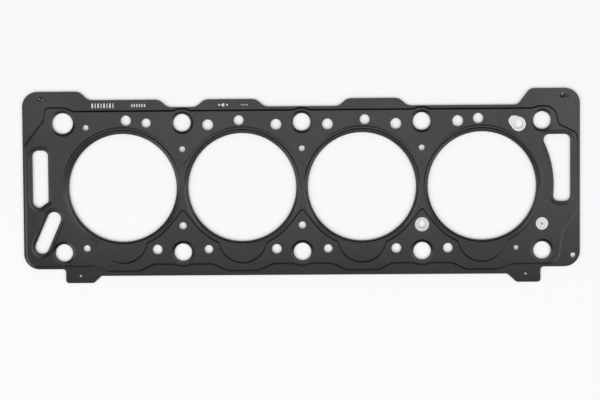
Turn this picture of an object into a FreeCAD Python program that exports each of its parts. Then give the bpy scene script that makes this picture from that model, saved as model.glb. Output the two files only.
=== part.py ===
"""Cylinder head gasket of a four-cylinder engine: two pressed steel layers round a plain carrier layer.

The frame's origin lies midway between the middle cylinders, in the middle of the carrier's thickness.
X runs along the engine, Y from the lower edge to the upper one, and Z up towards the cylinder head.
Every length is in millimetres.
"""

import FreeCAD, Part
import math
import os

# Cylinders and head bolts
cylinder_count = 4
bore_pitch = 93.0
fire_opening = 84.0
bolt_row_spacing = 100.8
bolt_hole = 13.6
dowel_hole = 16.1

# Sheet thicknesses
bead_sheet = 0.25
carrier_sheet = 0.70
shim_sheet = 0.12

# Heights that the press gives a bead layer above its rim
field_lift = 0.25
zone_lift = 0.13
bead_lift = 0.25

# Half bead round each bolt hole
bolt_land = 0.4
bolt_step_width = 1.8

# Raised zone round the cylinders, with a lobe for each combustion pre-chamber
zone_margin = 4.9
zone_step_width = 1.2
lobe_radius = 18.7
lobe_inset = 1.8
lobe_fillet = 2.5
web_side_angle = 38.0
web_fillet = 2.0

# Full bead round each fire opening, and ridge round each long slot
bead_start = 0.9
bead_width = 2.4
bead_crown = 0.7
slot_ridge_start = 0.6
slot_ridge_width = 2.4
slot_ridge_crown = 0.6

# Half bead along the rim: its width, and how far its middle stays from what it passes
half_bead_width = 1.4
rim_line_past_bolts = 9.3
rim_line_past_end_bolts = 10.5
rim_line_past_pits = 1.2
rim_line_past_lobes = 6.1
rim_line_inset = 2.0
rim_line_rounding = 6.0
rim_corner_rounding = 8.6
bump_half_foot = 6.4
bump_half_crown = 2.4
dip_half_floor = 12.0
dip_slope_run = 11.5

# Half bead at the right end: below the end bolt, past the slot, and over the end bolt
rim_right_low_x = 12.5
rim_right_turn_x = 15.8
rim_right_turn_rise = 14.4
rim_right_below_slot = 7.7
rim_right_above_slot = 0.7
rim_right_waist_x = 13.0
rim_right_waist_rise = 7.7
rim_right_shoulder_x = 9.3
rim_right_crown_x = 3.0
rim_right_foot_x = 7.2

# Half bead at the left end: over the dowel hole and down past the slot
rim_left_foot_x = 7.8
rim_left_crown_x = 2.0
rim_left_shoulder_x = 13.5
rim_left_waist_x = 14.6
rim_left_waist_rise = 2.6
rim_left_above_slot = 4.5

# Outer edge: end blocks, long edges with notches at the bolts, and tabs below
left_overhang = 31.4
right_overhang = 29.3
notch_past_rim_line = 2.8
edge_past_notch = 5.9
block_past_notch = 12.6
edge_past_dips = 3.6
block_past_end_line = 2.3
left_block_width = 48.1
right_block_width = 43.3
bolt_notch_half = 14.2
middle_notch_half = 32.0
edge_slope_run = 6.6
block_slope_run = 9.6
edge_round = 8.0
block_round = 6.0
top_corner_round = 11.7
bottom_corner_round = 12.2
tab_from_bolt = 1.2
left_tab_width = 21.8
left_tab_depth = 5.5
left_tab_slope_run = 5.7
right_tab_width = 18.5
right_tab_depth = 6.5
right_tab_slope_run = 7.2
tab_round = 2.4

# Round coolant and oil holes of the upper row: along from a bolt or a bore, up from the bolts, diameter
beside_bolt_top = (20.0, -1.8, 8.4)
middle_bore_top = (2.4, 1.6, 7.7)
end_bore_top = (2.8, 1.9, 8.0)
left_extra_top = (27.9, -0.1, 7.1)
right_extra_top = (27.9, -0.1, 8.5)
bleed_hole = (18.0, -3.4, 4.5)

# Round holes of the lower row: along from a bolt, and diameter
lower_hole_from_bolt = 20.0
lower_hole_rise = 2.2
lower_hole_large = 7.5
lower_hole_small = 6.6
left_corner_hole = (17.9, 3.3, 5.4)
right_corner_hole = (20.1, 2.0, 3.8)
sensor_hole = (5.4, 8.8, 3.9)

# Round holes in the webs between the cylinders, and the larger ones that the carrier throttles
web_hole_from_bolt = 20.6
upper_web_hole = 4.6
lower_web_hole = 5.7
return_hole = 11.0
return_restrictor = 6.2
end_web_hole = 9.7
end_web_restrictor = 1.6

# Teardrop opening: two round ends, each along from the end bolt, down from it, and radius
teardrop_small = (21.6, 0.4, 4.2)
teardrop_large = (18.0, 2.9, 5.6)
teardrop_restrictor = 7.4

# Upright slot at the left end
left_slot_inset = 7.4
left_slot_width = 12.3
left_slot_top = 29.5
left_slot_bottom = 15.0
left_slot_round = 4.4
left_slot_foot_round = 5.0
left_slot_cut_run = 6.4
left_slot_cut_rise = 4.6
left_slot_cut_round = 1.8

# Slanted slot below it: its round ends lie left of the end bolt and above it
slanted_slot_width = 10.9
slanted_upper_along = 7.6
slanted_upper_rise = 26.6
slanted_lower_along = 17.2
slanted_lower_rise = 4.7

# Wide slot at the right end, whose inner side is an arc that keeps off the last fire opening
right_slot_inset = 7.4
right_slot_top = 39.5
right_slot_bottom = 12.4
right_slot_round = 4.4
right_slot_from_opening = 13.6
right_slot_arc_radius = 77.8

# Stitches that lock the layers together at the upper corners
left_stitch_inset = 15.3
right_stitch_inset = 12.3
stitch_from_top = 5.7
stitch_length = 7.2
stitch_depth = 3.6
tongue_side_clearance = 0.08
tongue_front_clearance = 0.6
tongue_foot = 1.4

# Rivets through the tabs
rivet_from_side = 11.6
rivet_shank = 2.2
rivet_head = 3.6
rivet_head_height = 0.35
rivet_dimple = 1.3

# Places along and across the gasket
fire_radius = fire_opening / 2
bolt_row = bolt_row_spacing / 2
bolt_columns = [(i - cylinder_count / 2) * bore_pitch for i in range(cylinder_count + 1)]
bore_columns = [x + bore_pitch / 2 for x in bolt_columns[:-1]]
left_bolt = bolt_columns[0]
right_bolt = bolt_columns[-1]
left_end = left_bolt - left_overhang
right_end = right_bolt + right_overhang
zone_radius = fire_radius + zone_margin
lobe_distance = fire_radius - lobe_inset

# Heights across: the half bead first, then the edges that follow it
rim_line = bolt_row + rim_line_past_bolts
rim_line_end = bolt_row + rim_line_past_end_bolts
rim_line_dip = lobe_distance + lobe_radius + rim_line_past_lobes
notch_top = rim_line + notch_past_rim_line
edge_top = notch_top + edge_past_notch
block_top = notch_top + block_past_notch
edge_bottom = rim_line_dip + edge_past_dips
block_bottom = rim_line_end + block_past_end_line

# Heights above the middle of the carrier: its face, the top of the upper layer's rim, and the top of its beads
upper_rim = carrier_sheet / 2
upper_rim_top = upper_rim + bead_sheet
bead_top = upper_rim_top + field_lift + zone_lift + bead_lift
cut_reach = 2 * bead_top

# Shorter edges than this are left out of an outline
shortest_edge = 1e-3


def unit(x, y):
    """Direction of a step in the plane."""
    length = math.hypot(x, y)
    return x / length, y / length


def circles_in_corners(corners):
    """Circles that round the corners (x, y, radius) of an anticlockwise outline.

    A corner that turns clockwise gets a negative radius.
    """
    circles = []
    for i, (x, y, radius) in enumerate(corners):
        x_before, y_before, _ = corners[i - 1]
        x_after, y_after, _ = corners[(i + 1) % len(corners)]
        back_x, back_y = unit(x_before - x, y_before - y)
        on_x, on_y = unit(x_after - x, y_after - y)
        half_angle = math.acos(back_x * on_x + back_y * on_y) / 2
        inward_x, inward_y = unit(back_x + on_x, back_y + on_y)
        reach = radius / math.sin(half_angle)
        turns_left = back_y * on_x - back_x * on_y > 0
        side = 1 if turns_left else -1
        circles.append((x + inward_x * reach, y + inward_y * reach, side * radius))
    return circles


def outline(circles, grown=0.0, z=0.0):
    """Wire that runs anticlockwise round the circles, as a belt round pulleys, grown by a margin.

    A circle with a negative radius bends the wire inwards.
    """
    headings = []
    for i, (x, y, radius) in enumerate(circles):
        x_next, y_next, radius_next = circles[(i + 1) % len(circles)]
        apart = math.hypot(x_next - x, y_next - y)
        lean = max(-1.0, min(1.0, (radius_next - radius) / apart))
        headings.append(math.atan2(y_next - y, x_next - x) - math.asin(lean))

    def point(circle, heading):
        x, y, radius = circle
        out = radius + grown
        return FreeCAD.Vector(x + out * math.sin(heading), y - out * math.cos(heading), z)

    touches = []
    for i, circle in enumerate(circles):
        start = point(circle, headings[i])
        end = point(circles[(i + 1) % len(circles)], headings[i])
        joined = start.distanceToPoint(end) < shortest_edge
        touches.append((start, start if joined else end))

    edges = []
    full_turn = 2 * math.pi
    for i, circle in enumerate(circles):
        arriving = headings[i - 1]
        leaving = headings[i]
        if circle[2] > 0:
            sweep = (leaving - arriving) % full_turn
        else:
            sweep = -((arriving - leaving) % full_turn)
        arc_start = touches[i - 1][1]
        arc_end, line_end = touches[i]
        if arc_start.distanceToPoint(arc_end) > shortest_edge:
            middle = point(circle, arriving + sweep / 2)
            edges.append(Part.Arc(arc_start, middle, arc_end).toShape())
        if line_end is not arc_end:
            edges.append(Part.makeLine(arc_end, line_end))
    return Part.Wire(edges)


def plate(circles, low, high, grown=0.0):
    """Flat plate between two heights with the outline of the circles."""
    face = Part.Face(outline(circles, grown, low))
    return face.extrude(FreeCAD.Vector(0, 0, high - low))


def plateau(circles, foot, top, low, high):
    """Plateau with sloping sides, its outline grown by foot at the low height and by top at the high one."""
    return Part.makeLoft([outline(circles, foot, low), outline(circles, top, high)], True, True)


def disc(x, y, radius, low, high):
    """Upright cylinder."""
    return Part.makeCylinder(radius, high - low, FreeCAD.Vector(x, y, low))


def turned(x, y, profile):
    """Solid turned round an upright axis from the corners (radius, height) of its half section."""
    corners = [FreeCAD.Vector(x + radius, y, height) for radius, height in profile]
    face = Part.Face(Part.makePolygon(corners + corners[:1]))
    return face.revolve(FreeCAD.Vector(x, y, 0), FreeCAD.Vector(0, 0, 1), 360)


def gasket_outline():
    """Outer edge, anticlockwise from the lower left corner."""

    def tab(side, width, depth, slope_run):
        outer = side * (right_bolt - tab_from_bolt)
        inner = outer - side * width
        return [
            (outer, -block_bottom, tab_round),
            (outer, -edge_bottom - depth, tab_round),
            (inner, -edge_bottom - depth, tab_round),
            (inner - side * slope_run, -edge_bottom, tab_round),
        ]

    def slope(x, y_from, y_to, run=edge_slope_run, radius=edge_round):
        return [(x + run / 2, y_from, radius), (x - run / 2, y_to, radius)]

    corners = [(left_end, -block_bottom, bottom_corner_round)]
    corners += tab(-1, left_tab_width, left_tab_depth, left_tab_slope_run)
    corners += reversed(tab(1, right_tab_width, right_tab_depth, right_tab_slope_run))
    corners.append((right_end, -block_bottom, bottom_corner_round))
    corners.append((right_end, block_top, top_corner_round))
    corners += slope(right_end - right_block_width, block_top, notch_top, block_slope_run, block_round)
    corners += slope(bolt_columns[-2] - bolt_notch_half, notch_top, edge_top)
    corners += slope(middle_notch_half, edge_top, notch_top)
    corners += slope(-middle_notch_half, notch_top, edge_top)
    corners += slope(bolt_columns[1] + bolt_notch_half, edge_top, notch_top)
    corners += slope(bolt_columns[1] - bolt_notch_half, notch_top, edge_top)
    corners += slope(left_end + left_block_width, edge_top, block_top)
    corners.append((left_end, block_top, top_corner_round))
    return circles_in_corners(corners)


def pit_radius(hole_radius):
    """Outer radius of the half bead round a bolt hole."""
    return hole_radius + bolt_land + bolt_step_width


def rim_line_circles():
    """Middle of the half bead along the rim, anticlockwise from the lower left corner."""
    clear = rim_line_past_pits + half_bead_width / 2
    crown = bolt_row + pit_radius(bolt_hole / 2) + clear
    dowel_crown = bolt_row + pit_radius(dowel_hole / 2) + clear
    left = left_end + rim_line_inset
    right = right_end - rim_line_inset
    turn = rim_line_rounding

    def bump(x, side):
        path = [
            (-bump_half_foot, rim_line),
            (-bump_half_crown, crown),
            (bump_half_crown, crown),
            (bump_half_foot, rim_line),
        ]
        return [(x - side * along, side * y, turn) for along, y in path]

    def dip(x, y_before, y_after):
        foot = dip_half_floor + dip_slope_run
        return [
            (x - foot, -y_before, turn),
            (x - dip_half_floor, -rim_line_dip, turn),
            (x + dip_half_floor, -rim_line_dip, turn),
            (x + foot, -y_after, turn),
        ]

    corners = [(left, -rim_line_end, rim_corner_rounding)]
    corners += dip(bore_columns[0], rim_line_end, rim_line)
    for x in bolt_columns[1:-1]:
        corners += bump(x, -1)
        last = x == bolt_columns[-2]
        corners += dip(x + bore_pitch / 2, rim_line, rim_line_end if last else rim_line)
    waist = right_slot_top + rim_right_waist_rise
    corners += [
        (right_bolt + rim_right_low_x, -rim_line_end, rim_corner_rounding),
        (right_bolt + rim_right_turn_x, -bolt_row + rim_right_turn_rise, turn),
        (right, -right_slot_bottom - rim_right_below_slot, turn),
        (right, right_slot_top + rim_right_above_slot, turn),
        (right_bolt + rim_right_waist_x, waist, turn / 2),
        (right_bolt + rim_right_shoulder_x, crown, rim_corner_rounding),
        (right_bolt - rim_right_crown_x, crown, turn),
        (right_bolt - rim_right_foot_x, rim_line, turn),
    ]
    for x in bolt_columns[-2:0:-1]:
        corners += bump(x, 1)
    corners += [
        (left_bolt + rim_left_foot_x, rim_line, turn),
        (left_bolt + rim_left_crown_x, dowel_crown, turn),
        (left_bolt - rim_left_shoulder_x, dowel_crown, turn / 2),
        (left_bolt - rim_left_waist_x, bolt_row + rim_left_waist_rise, turn),
        (left, left_slot_top + rim_left_above_slot, rim_corner_rounding),
    ]
    return circles_in_corners(corners)


def web_fillet_distance():
    """Y of the fillet that rounds the corner of the raised zone at a web."""
    angle = math.radians(web_side_angle)
    reach = zone_radius + web_fillet
    return (reach - bore_pitch / 2 * math.cos(angle)) / math.sin(angle)


def lobe_fillet_place():
    """Along and across, from a bore's axis, of the fillet between the zone and its lobe."""
    from_bore = zone_radius + lobe_fillet
    from_lobe = lobe_radius + lobe_fillet
    down = (from_bore**2 - from_lobe**2 + lobe_distance**2) / (2 * lobe_distance)
    return math.sqrt(from_bore**2 - down**2), down


def zone_circles():
    """Edge of the raised zone: a circle round each bore, joined at the webs, with a lobe below."""
    web_y = web_fillet_distance()
    along, down = lobe_fillet_place()
    circles = []
    for x in bore_columns:
        circles += [
            (x, 0.0, zone_radius),
            (x - along, -down, -lobe_fillet),
            (x, -lobe_distance, lobe_radius),
            (x + along, -down, -lobe_fillet),
            (x, 0.0, zone_radius),
        ]
        if x != bore_columns[-1]:
            circles.append((x + bore_pitch / 2, -web_y, -web_fillet))
    for x in bore_columns[-2::-1]:
        circles.append((x + bore_pitch / 2, web_y, -web_fillet))
        if x != bore_columns[0]:
            circles.append((x, 0.0, zone_radius))
    return circles


def left_slot():
    """Upright slot at the left end, with its lower inner corner cut off."""
    outer = left_end + left_slot_inset
    inner = outer + left_slot_width
    return circles_in_corners([
        (outer, -left_slot_bottom, left_slot_foot_round),
        (inner - left_slot_cut_run, -left_slot_bottom, left_slot_cut_round),
        (inner, -left_slot_bottom + left_slot_cut_rise, left_slot_cut_round),
        (inner, left_slot_top, left_slot_round),
        (outer, left_slot_top, left_slot_round),
    ])


def slanted_slot():
    """Slot with round ends beside the lower left bolt."""
    radius = slanted_slot_width / 2
    return [
        (left_bolt - slanted_lower_along, -bolt_row + slanted_lower_rise, radius),
        (left_bolt - slanted_upper_along, -bolt_row + slanted_upper_rise, radius),
    ]


def right_slot():
    """Wide slot at the right end."""
    radius = right_slot_round
    outer = right_end - right_slot_inset - radius
    high = right_slot_top - radius
    low = -right_slot_bottom + radius
    arc_x = bore_columns[-1] + fire_radius + right_slot_from_opening - right_slot_arc_radius

    def beside_arc(y):
        return (arc_x + math.sqrt((right_slot_arc_radius + radius) ** 2 - y**2), y, radius)

    return [
        (outer, low, radius),
        (outer, high, radius),
        beside_arc(high),
        (arc_x, 0.0, -right_slot_arc_radius),
        beside_arc(low),
    ]


def teardrop():
    """Teardrop opening left of the upper right bolt."""
    ends = (teardrop_large, teardrop_small)
    return [(right_bolt - along, bolt_row - down, radius) for along, down, radius in ends]


def bolt_holes():
    """X, Y and radius of the ten head bolt holes; the upper left one also takes a dowel."""
    holes = []
    for x in bolt_columns:
        for y in (-bolt_row, bolt_row):
            takes_dowel = x == left_bolt and y > 0
            holes.append((x, y, (dowel_hole if takes_dowel else bolt_hole) / 2))
    return holes


def passages():
    """X, Y and diameter of the round coolant and oil holes of one size in every layer."""

    def upper(x, side, hole):
        along, rise, diameter = hole
        return (x + side * along, bolt_row + rise, diameter)

    def lower(x, side, hole):
        along, rise, diameter = hole
        return (x + side * along, -bolt_row + rise, diameter)

    large = (lower_hole_from_bolt, lower_hole_rise, lower_hole_large)
    small = (lower_hole_from_bolt, lower_hole_rise, lower_hole_small)
    holes = []
    for i, x in enumerate(bolt_columns[1:-1]):
        if x <= 0:
            holes.append(upper(x, 1, beside_bolt_top))
            holes.append(lower(x, 1, small))
        if x >= 0:
            holes.append(upper(x, -1, beside_bolt_top))
        if x > 0:
            holes.append(lower(x, 1, large))
        holes.append(lower(x, -1, large))
        holes.append((x, bolt_row - web_hole_from_bolt, upper_web_hole))
        if x <= 0:
            holes.append((x, -bolt_row + web_hole_from_bolt, lower_web_hole))
    holes += [
        upper(bore_columns[0], 1, end_bore_top),
        upper(bore_columns[1], -1, middle_bore_top),
        upper(bore_columns[2], 1, middle_bore_top),
        upper(bore_columns[3], -1, end_bore_top),
        upper(bolt_columns[1], -1, left_extra_top),
        upper(bolt_columns[-2], 1, right_extra_top),
        upper(left_bolt, 1, bleed_hole),
        lower(left_bolt, 1, left_corner_hole),
        lower(right_bolt, -1, right_corner_hole),
    ]
    along, rise, diameter = sensor_hole
    holes.append((right_end - along, -block_bottom + rise, diameter))
    return holes


def throttled_passages():
    """X, Y, diameter and diameter in the carrier of the round holes that the carrier throttles."""
    y = -bolt_row + web_hole_from_bolt
    return [
        (bolt_columns[-2], y, return_hole, return_restrictor),
        (right_bolt, y, end_web_hole, end_web_restrictor),
    ]


def stitch_places():
    """Middle of each stitch window."""
    y = block_top - stitch_from_top
    return [(left_end + left_stitch_inset, y), (right_end - right_stitch_inset, y)]


def rivet_places():
    """Middle of each tab rivet, in line with the lower edge."""
    x = right_bolt - tab_from_bolt - rivet_from_side
    return [(-x, -edge_bottom), (x, -edge_bottom)]


def openings(in_carrier=False):
    """Everything that is punched through a layer."""
    low, high = -cut_reach, cut_reach
    cuts = [disc(x, 0, fire_radius, low, high) for x in bore_columns]
    cuts += [disc(x, y, radius, low, high) for x, y, radius in bolt_holes()]
    cuts += [plate(slot, low, high) for slot in (left_slot(), slanted_slot(), right_slot())]
    cuts += [disc(x, y, diameter / 2, low, high) for x, y, diameter in passages()]
    for x, y, diameter, throttled in throttled_passages():
        cuts.append(disc(x, y, (throttled if in_carrier else diameter) / 2, low, high))
    if in_carrier:
        x, y, _ = teardrop()[0]
        cuts.append(disc(x, y, teardrop_restrictor / 2, low, high))
    else:
        cuts.append(plate(teardrop(), low, high))
    for x, y in stitch_places():
        corner = FreeCAD.Vector(x - stitch_length / 2, y - stitch_depth / 2, low)
        cuts.append(Part.makeBox(stitch_length, stitch_depth, high - low, corner))
    cuts += [disc(x, y, rivet_shank / 2, low, high) for x, y in rivet_places()]
    return Part.makeCompound(cuts)


def full_bead(x):
    """Ring with sloping flanks that stands on the raised zone round a fire opening."""
    base = field_lift + zone_lift
    inner = fire_radius + bead_start
    flank = (bead_width - bead_crown) / 2
    return turned(x, 0, [
        (inner, base),
        (inner + bead_width, base),
        (inner + bead_width - flank, base + bead_lift),
        (inner + flank, base + bead_lift),
    ])


def slot_ridge(slot):
    """Ridge with sloping flanks round a slot."""
    inner = slot_ridge_start
    outer = inner + slot_ridge_width
    flank = (slot_ridge_width - slot_ridge_crown) / 2
    crown = field_lift + zone_lift
    hill = plateau(slot, outer, outer - flank, field_lift, crown)
    hollow = plateau(slot, inner, inner + flank, field_lift, crown)
    return hill.cut(hollow)


def bolt_pit(x, y, radius):
    """Funnel that brings the sheet back down to rim level round a bolt hole."""
    brim = pit_radius(radius)
    return turned(x, y, [
        (0, 0),
        (radius + bolt_land, 0),
        (brim, field_lift),
        (brim, field_lift + zone_lift),
        (0, field_lift + zone_lift),
    ])


def pressed_form():
    """Ground whose top is the underside of a bead layer pressed upwards, with its rim at zero."""
    half_bead = half_bead_width / 2
    half_step = zone_step_width / 2
    zone_top = field_lift + zone_lift
    corner = FreeCAD.Vector(2 * left_end, -2 * block_top, -cut_reach)
    ground = Part.makeBox(2 * (right_end - left_end), 4 * block_top, cut_reach, corner)
    hills = [plateau(rim_line_circles(), half_bead, -half_bead, 0, field_lift)]
    hills.append(plateau(zone_circles(), half_step, -half_step, field_lift, zone_top))
    hills += [full_bead(x) for x in bore_columns]
    hills += [slot_ridge(slot) for slot in (left_slot(), slanted_slot(), right_slot())]
    pits = [bolt_pit(x, y, radius) for x, y, radius in bolt_holes()]
    return ground.multiFuse(hills).cut(Part.makeCompound(pits))


def bead_layer():
    """Pressed sheet at its place above the carrier."""
    form = pressed_form()
    sheet = form.translated(FreeCAD.Vector(0, 0, bead_sheet)).cut(form)
    blank = plate(gasket_outline(), -cut_reach, cut_reach)
    punched = sheet.common(blank).cut(openings())
    return punched.removeSplitter().translated(FreeCAD.Vector(0, 0, upper_rim))


def stitch_tongue(x, y):
    """Tongue of the upper layer that dives through the windows and hooks under the lower layer."""
    rear = y + stitch_depth / 2
    front = y - stitch_depth / 2
    bend = front + tongue_front_clearance
    toe = front - tongue_foot
    foot_top = -upper_rim_top
    foot_floor = foot_top - bead_sheet
    profile = [
        (rear, upper_rim_top),
        (rear - bead_sheet, upper_rim_top),
        (bend, foot_top),
        (toe, foot_top),
        (toe, foot_floor),
        (bend + bead_sheet, foot_floor),
        (rear, upper_rim),
    ]
    left = x - stitch_length / 2 + tongue_side_clearance
    corners = [FreeCAD.Vector(left, along, height) for along, height in profile]
    face = Part.Face(Part.makePolygon(corners + corners[:1]))
    return face.extrude(FreeCAD.Vector(stitch_length - 2 * tongue_side_clearance, 0, 0))


def upper_bead_layer():
    """Coated layer against the cylinder head, with the two stitch tongues."""
    tongues = [stitch_tongue(x, y) for x, y in stitch_places()]
    return bead_layer().multiFuse(tongues).removeSplitter()


def lower_bead_layer():
    """Coated layer against the cylinder block, pressed the other way."""
    return bead_layer().mirror(FreeCAD.Vector(0, 0, 0), FreeCAD.Vector(0, 0, 1))


def carrier_layer():
    """Plain bare steel sheet between the bead layers; some of its holes throttle the coolant."""
    blank = plate(gasket_outline(), -upper_rim, upper_rim)
    return blank.cut(openings(in_carrier=True))


def stopper_shim():
    """Thin shim welded on the carrier round the fire openings, under the raised zone."""
    blank = plate(zone_circles(), upper_rim, upper_rim + shim_sheet, -zone_step_width)
    rings = [disc(x, 0, fire_radius, -cut_reach, cut_reach) for x in bore_columns]
    return blank.cut(Part.makeCompound(rings))


def tab_rivets():
    """Rivets through every layer of the tabs, with a dimpled head above and a closing head below."""
    dimple = rivet_dimple / 2
    head = rivet_head / 2
    shoulder = head - rivet_head_height / 2
    profile = [
        (0, -upper_rim_top - rivet_head_height),
        (shoulder, -upper_rim_top - rivet_head_height),
        (head, -upper_rim_top),
        (rivet_shank / 2, -upper_rim_top),
        (rivet_shank / 2, upper_rim_top),
        (head, upper_rim_top),
        (shoulder, upper_rim_top + rivet_head_height),
        (dimple, upper_rim_top + rivet_head_height),
        (0, upper_rim_top),
    ]
    return Part.makeCompound([turned(x, y, profile) for x, y in rivet_places()])


def main():
    os.makedirs("parts", exist_ok=True)
    nodes = {
        "upper_bead_layer": upper_bead_layer(),
        "stopper_shim": stopper_shim(),
        "carrier_layer": carrier_layer(),
        "lower_bead_layer": lower_bead_layer(),
        "tab_rivets": tab_rivets(),
    }
    for name, shape in nodes.items():
        shape.exportStep(f"parts/{name}.step")
        print(name, shape.isValid(), len(shape.Solids), round(shape.Volume, 1))


main()
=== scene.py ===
"""Looks of the cylinder head gasket: finishes of its sheets and rivets, print, and studio."""

import math

import bpy
from bpy.props import FloatProperty, FloatVectorProperty, PointerProperty
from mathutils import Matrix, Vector


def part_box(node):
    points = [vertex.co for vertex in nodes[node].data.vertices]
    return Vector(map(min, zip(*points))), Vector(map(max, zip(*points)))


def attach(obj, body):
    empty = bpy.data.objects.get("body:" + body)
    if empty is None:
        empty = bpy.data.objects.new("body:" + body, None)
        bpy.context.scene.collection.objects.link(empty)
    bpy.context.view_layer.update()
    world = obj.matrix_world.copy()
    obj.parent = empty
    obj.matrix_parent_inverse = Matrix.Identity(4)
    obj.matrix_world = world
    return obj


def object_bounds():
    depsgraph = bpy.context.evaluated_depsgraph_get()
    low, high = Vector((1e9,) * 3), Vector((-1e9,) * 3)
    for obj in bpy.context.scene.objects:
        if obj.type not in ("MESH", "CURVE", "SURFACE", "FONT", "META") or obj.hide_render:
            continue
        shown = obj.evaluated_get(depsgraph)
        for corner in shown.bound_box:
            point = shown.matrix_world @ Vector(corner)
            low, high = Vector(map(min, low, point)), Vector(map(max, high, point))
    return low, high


bl_info = {
    "name": "Cylinder Head Gasket Finish",
    "version": (1, 0, 0),
    "blender": (4, 5, 0),
    "location": "View3D > Sidebar > Gasket",
    "description": "Finishes for a multi-layer steel gasket, its print and a plain studio",
    "category": "Object",
}

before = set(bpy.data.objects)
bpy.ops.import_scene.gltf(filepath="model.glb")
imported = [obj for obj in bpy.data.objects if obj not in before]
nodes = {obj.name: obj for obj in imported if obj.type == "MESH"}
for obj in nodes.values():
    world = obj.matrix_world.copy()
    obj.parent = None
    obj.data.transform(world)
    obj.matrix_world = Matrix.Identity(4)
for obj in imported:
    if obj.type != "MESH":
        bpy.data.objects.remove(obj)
cad_box = [list(corner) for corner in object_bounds()]

MILLIMETRE = 0.001

# Thickness of a pressed layer
SHEET = 0.25 * MILLIMETRE

# Place of a stitch, along and across from the middle of the gasket
STITCH = (202.5 * MILLIMETRE, 69.4 * MILLIMETRE)

# Share of a printed shape that is rounded off at a corner, and the segments of the corner
BAR_ROUNDING = 0.25
TRIANGLE_ROUNDING = 0.18
CORNER_SEGMENTS = 4

# Strength of the surroundings for the light and for the eye
LIT_STRENGTH = 0.5
SEEN_STRENGTH = 0.92

# Camera: place along and across in metres, and turn in degrees
CAMERA_PLACE = (0.01531, 0.03475)
CAMERA_TURN = (-2.3497, 0.8678, -0.4264)


def colour(name, description, default):
    """Property that holds a colour of a finish."""
    return FloatVectorProperty(
        name=name, description=description, default=default, subtype="COLOR", size=3, min=0, max=1
    )


def length(name, description, millimetres):
    """Property that holds a length, stored in metres."""
    return FloatProperty(
        name=name,
        description=description,
        default=millimetres * MILLIMETRE,
        unit="LENGTH",
        precision=5,
        min=0,
    )


def share(name, description, default):
    """Property that holds a number from 0 to 1."""
    return FloatProperty(
        name=name, description=description, default=default, subtype="FACTOR", min=0, max=1
    )


def brightness(name, description, default):
    """Property that holds the brightness of a lamp, whatever its size."""
    return FloatProperty(name=name, description=description, default=default, min=0)


class CoatingSettings(bpy.types.PropertyGroup):
    """Rubber coating of the pressed layers, and the steel at their cut edges"""

    rubber: colour("Rubber", "Colour of the coating", (0.0032, 0.0030, 0.0042))
    rubber_tint: colour("Rubber tint", "Colour of the violet patches", (0.0095, 0.0055, 0.0110))
    # Painted sheen: a lighter colour at the upper corners, where more light falls
    painted_corner_sheen: colour("Painted corner sheen", "Colour at the upper corners", (0.026, 0.021, 0.027))
    sheen: share("Sheen", "Roughness of the coating", 0.21)
    grain: length("Grain", "Height of the coating's grain", 0.004)
    cut_steel: colour("Cut steel", "Colour of the sheet's cut edges", (0.10, 0.10, 0.10))
    # Painted glints: a light grey spotted on the coating near the stitches
    painted_stitch_glint: colour("Painted stitch glint", "Colour of the painted glints at the stitches", (0.30, 0.29, 0.29))


class SteelSettings(bpy.types.PropertyGroup):
    """Bare steel of the carrier and the shim, and the rivets"""

    rolled: colour("Rolled steel", "Colour of the carrier and the shim", (0.47, 0.47, 0.47))
    rivet: colour("Rivet coat", "Colour of the rivet heads", (0.012, 0.012, 0.012))
    # Painted glint: the light disc in the middle of each rivet head
    painted_glint: colour("Painted rivet glint", "Colour of the dimple in a rivet head", (0.85, 0.85, 0.85))
    roughness: share("Roughness", "Roughness of the bare steel", 0.32)


class PrintSettings(bpy.types.PropertyGroup):
    """Screen print along the upper edge"""

    ink: colour("Ink", "Colour of the print", (0.85, 0.85, 0.84))
    faint_ink: colour("Faint ink", "Colour of the date dots", (0.50, 0.50, 0.50))
    thickness: length("Thickness", "Thickness of the ink", 0.02)
    line: length("Line", "Height of the print's middle above the middle of the gasket", 64.0)
    tall: length("Tall bars", "Height of the tall bars", 3.6)
    short: length("Short bars", "Height of the short bars", 2.4)


class StudioSettings(bpy.types.PropertyGroup):
    """Floor, lamps and camera"""

    floor: colour("Floor", "Colour of the floor", (0.985, 0.985, 0.985))
    ceiling: colour("Ceiling", "Colour of the ceiling", (0.02, 0.02, 0.02))
    overhead: brightness("Overhead lamp", "Brightness of the lamp above", 2.5)
    front: brightness("Front lamp", "Brightness of the lamp in front", 1.7)
    left: brightness("Left lamp", "Brightness of the lamp at the left", 3.8)
    right: brightness("Right lamp", "Brightness of the lamp at the right", 2.8)
    camera_height: length("Camera height", "Height of the camera above the gasket", 1101.0)


class Value:
    """Output of a node, with the arithmetic of a number."""

    def __init__(self, finish, socket):
        self.finish = finish
        self.socket = socket

    def __add__(self, other):
        return self.finish.math("ADD", self, other)

    def __sub__(self, other):
        return self.finish.math("SUBTRACT", self, other)

    def __rsub__(self, other):
        return self.finish.math("SUBTRACT", other, self)

    def __mul__(self, other):
        return self.finish.math("MULTIPLY", self, other)

    def __abs__(self):
        return self.finish.math("ABSOLUTE", self)

    __radd__ = __add__
    __rmul__ = __mul__


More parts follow.
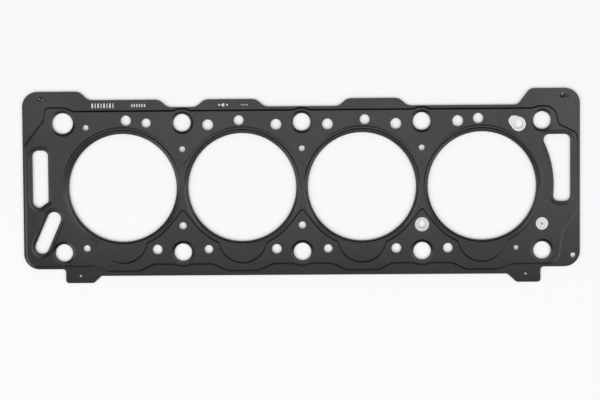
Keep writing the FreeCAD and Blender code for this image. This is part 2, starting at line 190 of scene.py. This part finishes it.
class Finish:
    """Material or world whose nodes are made one after another."""

    def __init__(self, name, kind="materials"):
        self.block = getattr(bpy.data, kind).new(name)
        self.block.use_nodes = True
        self.tree = self.block.node_tree
        self.tree.nodes.clear()

    def node(self, kind, settings=None, inputs=None, output=0):
        """Node of a kind, with its settings and the values or links of its sockets."""
        made = self.tree.nodes.new(kind)
        for name, value in (settings or {}).items():
            setattr(made, name, value)
        for key, value in (inputs or {}).items():
            if isinstance(value, Value):
                self.tree.links.new(value.socket, made.inputs[key])
            else:
                made.inputs[key].default_value = value
        return Value(self, made.outputs[output])

    def math(self, operation, *numbers):
        """Result of a Math node."""
        return self.node("ShaderNodeMath", {"operation": operation}, dict(enumerate(numbers)))

    def place(self, stretch=(1, 1, 1)):
        """The piece's own coordinates, in metres."""
        own = self.node("ShaderNodeTexCoord", output="Object")
        return self.node("ShaderNodeVectorMath", {"operation": "MULTIPLY"}, {0: own, 1: stretch})

    def split(self, vector):
        """First and second part of a vector."""
        return [self.node("ShaderNodeSeparateXYZ", inputs={0: vector}, output=i) for i in (0, 1)]

    def noise(self, size, detail=2.0, stretch=(1, 1, 1)):
        """Soft noise whose patches are about size millimetres across."""
        scale = 1 / (size * MILLIMETRE)
        return self.node(
            "ShaderNodeTexNoise",
            {"noise_dimensions": "3D"},
            {"Vector": self.place(stretch), "Scale": scale, "Detail": detail},
        )

    def step(self, value, low, high):
        """Smooth change from 0 at low to 1 at high."""
        return self.node(
            "ShaderNodeMapRange",
            {"interpolation_type": "SMOOTHSTEP"},
            {"Value": value, "From Min": low, "From Max": high},
        )

    def blend(self, factor, first, second):
        """Mix of two colours."""
        first, second = (
            tuple(c) + (1,) if not isinstance(c, Value) else c for c in (first, second)
        )
        return self.node(
            "ShaderNodeMix", {"data_type": "RGBA"}, {0: factor, 6: first, 7: second}, output=2
        )

    def on_sheet(self):
        """1 on the faces of a sheet and 0 on its cut edges."""
        normal = self.node("ShaderNodeTexCoord", output="Normal")
        upright = self.node("ShaderNodeSeparateXYZ", inputs={0: normal}, output=2)
        return self.step(abs(upright), low=0.35, high=0.7)

    def from_axes(self, x, y):
        """Distance from the nearest upright axis at x or minus x, and y or minus y."""
        flat = self.place((1, 1, 0))
        folded = self.node("ShaderNodeVectorMath", {"operation": "ABSOLUTE"}, {0: flat})
        axis = (abs(x), abs(y), 0)
        return self.node(
            "ShaderNodeVectorMath", {"operation": "DISTANCE"}, {0: folded, 1: axis}, output=1
        )

    def bump(self, height, depth, strength):
        """Normal of a surface that a height from 0 to 1 raises by depth metres."""
        return self.node(
            "ShaderNodeBump", inputs={"Height": height, "Distance": depth, "Strength": strength}
        )

    def surface(self, **sockets):
        """Ends the material with a Principled surface."""
        names = {
            key.replace("_", " ").title().replace("Ior", "IOR"): value
            for key, value in sockets.items()
        }
        return self.end(self.node("ShaderNodeBsdfPrincipled", inputs=names))

    def end(self, shader, kind="ShaderNodeOutputMaterial"):
        """Ends the material or the world with a shader."""
        last = self.tree.nodes.new(kind)
        self.tree.links.new(shader.socket, last.inputs["Surface"])
        return self.block


def shade(tone, strength):
    """Darker or lighter shade of a colour."""
    return [c * strength for c in tone]


def varied(middle, noise, reach):
    """Number that a noise moves about its middle; reach is the whole of the change."""
    return middle + (noise - 0.5) * reach


def cut_edge(finish, settings):
    """Colour of the punched edges, streaked along the stroke of the punch."""
    shear = finish.noise(0.3, stretch=(1, 1, 0.15))
    return finish.blend(shear, settings.cut_steel, shade(settings.cut_steel, 0.55))


def rubber_skin(finish, near_stitch, settings):
    """Colour of the coating, with its patches, a painted sheen at the upper corners and painted
    glints at the stitches.
    """
    patches = finish.step(finish.noise(70), low=0.35, high=0.65)
    rubber = finish.blend(patches, settings.rubber, settings.rubber_tint)
    along, across = finish.split(finish.place())
    # Painted sheen: the upper corners of the coating are coloured lighter
    at_end = finish.step(abs(along), low=0.165, high=0.205)
    at_top = finish.step(across, low=0.02, high=0.06)
    rubber = finish.blend(at_end * at_top * (1 - near_stitch), rubber, settings.painted_corner_sheen)
    # Painted glints: light grey spots on the coating near the stitches
    painted_glint_spots = near_stitch * finish.step(finish.noise(1.3), low=0.54, high=0.60)
    return finish.blend(painted_glint_spots, rubber, settings.painted_stitch_glint)


def coated_steel(settings):
    """Spring steel with a thin black rubber coating, and painted glints near the stitches."""
    cut_roughness = 0.42
    stitch_roughness = 0.4
    finish = Finish("coated_steel")
    coated = finish.on_sheet()
    from_stitch = finish.from_axes(*STITCH)
    near_stitch = 1 - finish.step(from_stitch, low=1.6 * MILLIMETRE, high=2.6 * MILLIMETRE)
    rolled = finish.noise(1.5, stretch=(0.05, 1, 1))
    sheen = varied(varied(settings.sheen, finish.noise(14), 0.08), rolled, 0.04)
    skin_roughness = sheen + near_stitch * stitch_roughness
    skin = rubber_skin(finish, near_stitch, settings)
    return finish.surface(
        base_color=finish.blend(coated, cut_edge(finish, settings), skin),
        metallic=1 - coated,
        roughness=coated * skin_roughness + (1 - coated) * cut_roughness,
        specular_ior_level=0.36,
        normal=finish.bump(finish.noise(0.5, detail=3), depth=settings.grain, strength=0.5),
    )


def bare_steel(settings):
    """Cold-rolled steel with the fine grain of the rollers along its length."""
    finish = Finish("bare_steel")
    rolled = finish.noise(0.4, detail=3, stretch=(0.02, 1, 1))
    return finish.surface(
        base_color=finish.blend(rolled, settings.rolled, shade(settings.rolled, 0.8)),
        metallic=1.0,
        roughness=varied(varied(settings.roughness, rolled, 0.16), finish.noise(25), 0.08),
        normal=finish.bump(rolled, depth=0.003 * MILLIMETRE, strength=0.4),
    )


def rivet_steel(settings):
    """Blackened rivet with a painted glint in the middle of its head."""
    low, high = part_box("tab_rivets")
    head = (high.y - low.y) / 2
    finish = Finish("rivet_steel")
    pressed = finish.noise(0.6, detail=3)
    coat = finish.blend(pressed, settings.rivet, shade(settings.rivet, 1.8))
    # Painted glint: a light disc round the middle of the rivet head
    away = finish.from_axes(high.x - head, low.y + head)
    bright = 1 - finish.step(away, low=0.45 * MILLIMETRE, high=0.75 * MILLIMETRE)
    return finish.surface(
        base_color=finish.blend(bright, coat, settings.painted_glint),
        roughness=0.30 + pressed * 0.16,
        normal=finish.bump(pressed, depth=0.01 * MILLIMETRE, strength=0.5),
    )


def ink(name, tone):
    """Screen ink with the small gaps of a mesh print."""
    finish = Finish(name)
    mesh = finish.noise(0.35, detail=3)
    thin = finish.step(mesh, low=0.62, high=0.78)
    return finish.surface(
        base_color=finish.blend(thin, tone, shade(tone, 0.55)),
        roughness=0.5 + mesh * 0.2,
        normal=finish.bump(mesh, depth=0.01 * MILLIMETRE, strength=0.4),
    )


def give(piece, material):
    """Puts one material on a piece."""
    piece.data.materials.clear()
    piece.data.materials.append(material)


def deselect():
    """Leaves nothing selected, so that an operator acts on the new piece alone."""
    if bpy.context.object and bpy.context.object.mode != "OBJECT":
        bpy.ops.object.mode_set(mode="OBJECT")
    bpy.ops.object.select_all(action="DESELECT")


def rim_height():
    """Height of the upper layer's rim, where the print lies."""
    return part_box("carrier_layer")[1].z + SHEET


def round_corners(size):
    """Rounds the corners of the flat shape in edit mode."""
    bpy.ops.mesh.bevel(offset=size, segments=CORNER_SEGMENTS, affect="VERTICES")


def pull_up(thickness):
    """Gives the flat shape in edit mode its thickness."""
    bpy.ops.mesh.extrude_region_move(TRANSFORM_OT_translate={"value": (0, 0, thickness)})
    bpy.ops.mesh.select_all(action="SELECT")
    bpy.ops.mesh.normals_make_consistent(inside=False)
    bpy.ops.object.mode_set(mode="OBJECT")


def ink_bar(settings, x, width, height):
    """Bar of ink with rounded corners; its place is its middle."""
    middle = (x, settings.line, rim_height())
    deselect()
    bpy.ops.mesh.primitive_plane_add(size=1, location=middle)
    bpy.ops.object.mode_set(mode="EDIT")
    bpy.ops.transform.resize(value=(width, height, 1), center_override=middle)
    round_corners(min(width, height) * BAR_ROUNDING)
    pull_up(settings.thickness)
    return bpy.context.object


def bar_row(settings, height, start, pitch, widths):
    """Row of bars of ink; start, pitch and widths are in millimetres."""
    return [
        ink_bar(settings, (start + pitch * i) * MILLIMETRE, width * MILLIMETRE, height)
        for i, width in enumerate(widths)
    ]


def ink_disc(settings, x, radius, corners=24, turn=0.0):
    """Dot of ink, or with three corners a rounded triangle; x and radius are in millimetres."""
    deselect()
    bpy.ops.mesh.primitive_circle_add(
        vertices=corners,
        radius=radius * MILLIMETRE,
        fill_type="NGON",
        location=(x * MILLIMETRE, settings.line, rim_height()),
        rotation=(0, 0, turn),
    )
    bpy.ops.object.mode_set(mode="EDIT")
    if corners == 3:
        round_corners(radius * MILLIMETRE * TRIANGLE_ROUNDING)
    pull_up(settings.thickness)
    return bpy.context.object


def joined(pieces, name):
    """One piece from several, with its place in its mesh and its object at the origin."""
    deselect()
    for piece in pieces:
        piece.select_set(True)
    bpy.context.view_layer.objects.active = pieces[0]
    bpy.ops.object.join()
    bpy.ops.object.transform_apply(location=True, rotation=True, scale=True)
    whole = bpy.context.object
    whole.name = name
    whole.data.name = name
    return whole


class GASKET_OT_coat_layers(bpy.types.Operator):
    """Coats the two pressed layers"""

    bl_idname = "gasket.coat_layers"
    bl_label = "Coat the pressed layers"

    def execute(self, context):
        material = coated_steel(context.scene.gasket_coating)
        for name in ("upper_bead_layer", "lower_bead_layer"):
            give(nodes[name], material)
        return {"FINISHED"}


class GASKET_OT_finish_steel(bpy.types.Operator):
    """Gives the carrier and the shim their bare steel, and the rivets their finish"""

    bl_idname = "gasket.finish_steel"
    bl_label = "Finish the bare steel"

    def execute(self, context):
        settings = context.scene.gasket_steel
        rolled = bare_steel(settings)
        give(nodes["carrier_layer"], rolled)
        give(nodes["stopper_shim"], rolled)
        give(nodes["tab_rivets"], rivet_steel(settings))
        return {"FINISHED"}


class GASKET_OT_print_marks(bpy.types.Operator):
    """Prints plain bars, a triangle and dots along the upper edge"""

    bl_idname = "gasket.print_marks"
    bl_label = "Print the marks"

    def execute(self, context):
        settings = context.scene.gasket_print
        shapes = bar_row(settings, settings.tall, start=-162.6, pitch=2.3, widths=(1.2, 0.7) * 4)
        shapes += bar_row(settings, settings.short, start=-131.8, pitch=1.98, widths=(0.9,) * 6)
        shapes.append(ink_disc(settings, x=-60.9, radius=1.9, corners=3, turn=math.pi / 2))
        shapes += [ink_disc(settings, x, radius=0.7) for x in (-64.0, -57.8)]
        marks = joined(shapes, "printed_marks")
        give(marks, ink("white_ink", settings.ink))
        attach(marks, "root")
        dots = [ink_disc(settings, x=-46.5 + 1.5 * i, radius=0.55) for i in range(4)]
        date = joined(dots, "date_dots")
        give(date, ink("faint_ink", settings.faint_ink))
        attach(date, "root")
        return {"FINISHED"}


class GASKET_OT_build_studio(bpy.types.Operator):
    """Makes the floor, the ceiling, the lamps and the camera"""

    bl_idname = "gasket.build_studio"
    bl_label = "Build the studio"

    def execute(self, context):
        settings = context.scene.gasket_studio
        lowest = Vector(cad_box[0]).z
        floor = plain_sheet("floor", side=8.0, height=lowest - 0.02 * MILLIMETRE)
        give(floor, pale_floor(settings))
        ceiling = plain_sheet("ceiling", side=24.0, height=2.3)
        give(ceiling, matt("ceiling_cloth", settings.ceiling))
        softbox(
            "overhead_lamp",
            place=(0.17, 0.07, 1.6),
            target=(0.17, 0.07, 0),
            width=1.5,
            depth=0.58,
            strength=settings.overhead,
        )
        softbox(
            "front_lamp",
            place=(0, -1.1, 1.2),
            target=(0, -0.1, 0),
            width=1.8,
            depth=0.7,
            strength=settings.front,
        )
        for name, side, strength in (
            ("left_lamp", -1, settings.left),
            ("right_lamp", 1, settings.right),
        ):
            place = (side * 0.95, -0.35, 1.0)
            softbox(name, place, target=(0, 0, 0), width=0.7, depth=0.9, strength=strength)
        lit_world()
        camera(settings)
        context.scene.view_settings.view_transform = "Standard"
        return {"FINISHED"}


def plain_sheet(name, side, height):
    """Large flat sheet of the studio."""
    deselect()
    bpy.ops.mesh.primitive_plane_add(size=side, location=(0, 0, height))
    bpy.ops.object.transform_apply(location=True)
    sheet = bpy.context.object
    sheet.name = name
    return sheet


def matt(name, tone):
    """Plain matt material."""
    return Finish(name).surface(base_color=tuple(tone) + (1,), roughness=0.9)


def seen_directly(finish):
    """1 for what the camera sees, also in metal or through glass, and 0 for light."""
    rays = finish.node("ShaderNodeLightPath", output="Is Camera Ray")
    glossy = finish.node("ShaderNodeLightPath", output="Is Glossy Ray")
    through = finish.node("ShaderNodeLightPath", output="Is Transmission Ray")
    return finish.math("MAXIMUM", finish.math("MAXIMUM", rays, glossy), through)


def pale_floor(settings):
    """Floor whose paleness is mostly its own, and which is shaded down inside small holes."""
    own_share = 0.8
    shading_reach = 12 * MILLIMETRE
    tone = tuple(settings.floor) + (1,)
    finish = Finish("pale_floor")
    lit = finish.node("ShaderNodeBsdfDiffuse", inputs={"Color": tone})
    glow = finish.node("ShaderNodeEmission", inputs={"Color": tone, "Strength": 1.0})
    open_sky = finish.node(
        "ShaderNodeAmbientOcclusion", inputs={"Distance": shading_reach}, output="AO"
    )
    factor = seen_directly(finish) * own_share * open_sky * open_sky
    return finish.end(finish.node("ShaderNodeMixShader", inputs={0: factor, 1: lit, 2: glow}))


def softbox(name, place, target, width, depth, strength):
    """Rectangular lamp of an even brightness, aimed at a point."""
    lamp = bpy.data.lights.new(name, "AREA")
    lamp.shape = "RECTANGLE"
    lamp.size = width
    lamp.size_y = depth
    lamp.energy = strength * math.pi * width * depth
    stand = bpy.data.objects.new(name, lamp)
    stand.location = place
    aim = Vector(target) - Vector(place)
    stand.rotation_euler = aim.to_track_quat("-Z", "Y").to_euler()
    bpy.context.scene.collection.objects.link(stand)


def lit_world():
    """Pale surroundings for the eye and weaker ones for the light."""
    world = Finish("studio", kind="worlds")
    strength = world.node(
        "ShaderNodeMapRange",
        inputs={"Value": seen_directly(world), "To Min": LIT_STRENGTH, "To Max": SEEN_STRENGTH},
    )
    back = world.node("ShaderNodeBackground", inputs={"Color": (1, 1, 1, 1), "Strength": strength})
    bpy.context.scene.world = world.end(back, "ShaderNodeOutputWorld")


def camera(settings):
    """Camera that looks down on the gasket, a little off the vertical."""
    lens = bpy.data.cameras.new("camera")
    lens.lens = 85
    lens.sensor_width = 36
    eye = bpy.data.objects.new("camera", lens)
    eye.location = (*CAMERA_PLACE, settings.camera_height)
    eye.rotation_euler = [math.radians(angle) for angle in CAMERA_TURN]
    bpy.context.scene.collection.objects.link(eye)
    bpy.context.scene.camera = eye


class GASKET_PT_finish(bpy.types.Panel):
    """Lists the steps and the sizes and colours that they use"""

    bl_label = "Head Gasket"
    bl_idname = "GASKET_PT_finish"
    bl_space_type = "VIEW_3D"
    bl_region_type = "UI"
    bl_category = "Gasket"

    def draw(self, context):
        for group, kind, operator in STEPS:
            box = self.layout.box()
            settings = getattr(context.scene, group)
            for name in kind.__annotations__:
                box.prop(settings, name)
            box.operator(operator.bl_idname)


STEPS = (
    ("gasket_coating", CoatingSettings, GASKET_OT_coat_layers),
    ("gasket_steel", SteelSettings, GASKET_OT_finish_steel),
    ("gasket_print", PrintSettings, GASKET_OT_print_marks),
    ("gasket_studio", StudioSettings, GASKET_OT_build_studio),
)


def register():
    for group, kind, operator in STEPS:
        bpy.utils.register_class(kind)
        setattr(bpy.types.Scene, group, PointerProperty(type=kind))
        bpy.utils.register_class(operator)
    bpy.utils.register_class(GASKET_PT_finish)


def unregister():
    bpy.utils.unregister_class(GASKET_PT_finish)
    for group, kind, operator in STEPS:
        bpy.utils.unregister_class(operator)
        delattr(bpy.types.Scene, group)
        bpy.utils.unregister_class(kind)


def main():
    register()
    bpy.ops.gasket.coat_layers()
    bpy.ops.gasket.finish_steel()
    bpy.ops.gasket.print_marks()
    bpy.ops.gasket.build_studio()


if __name__ == "__main__":
    main()
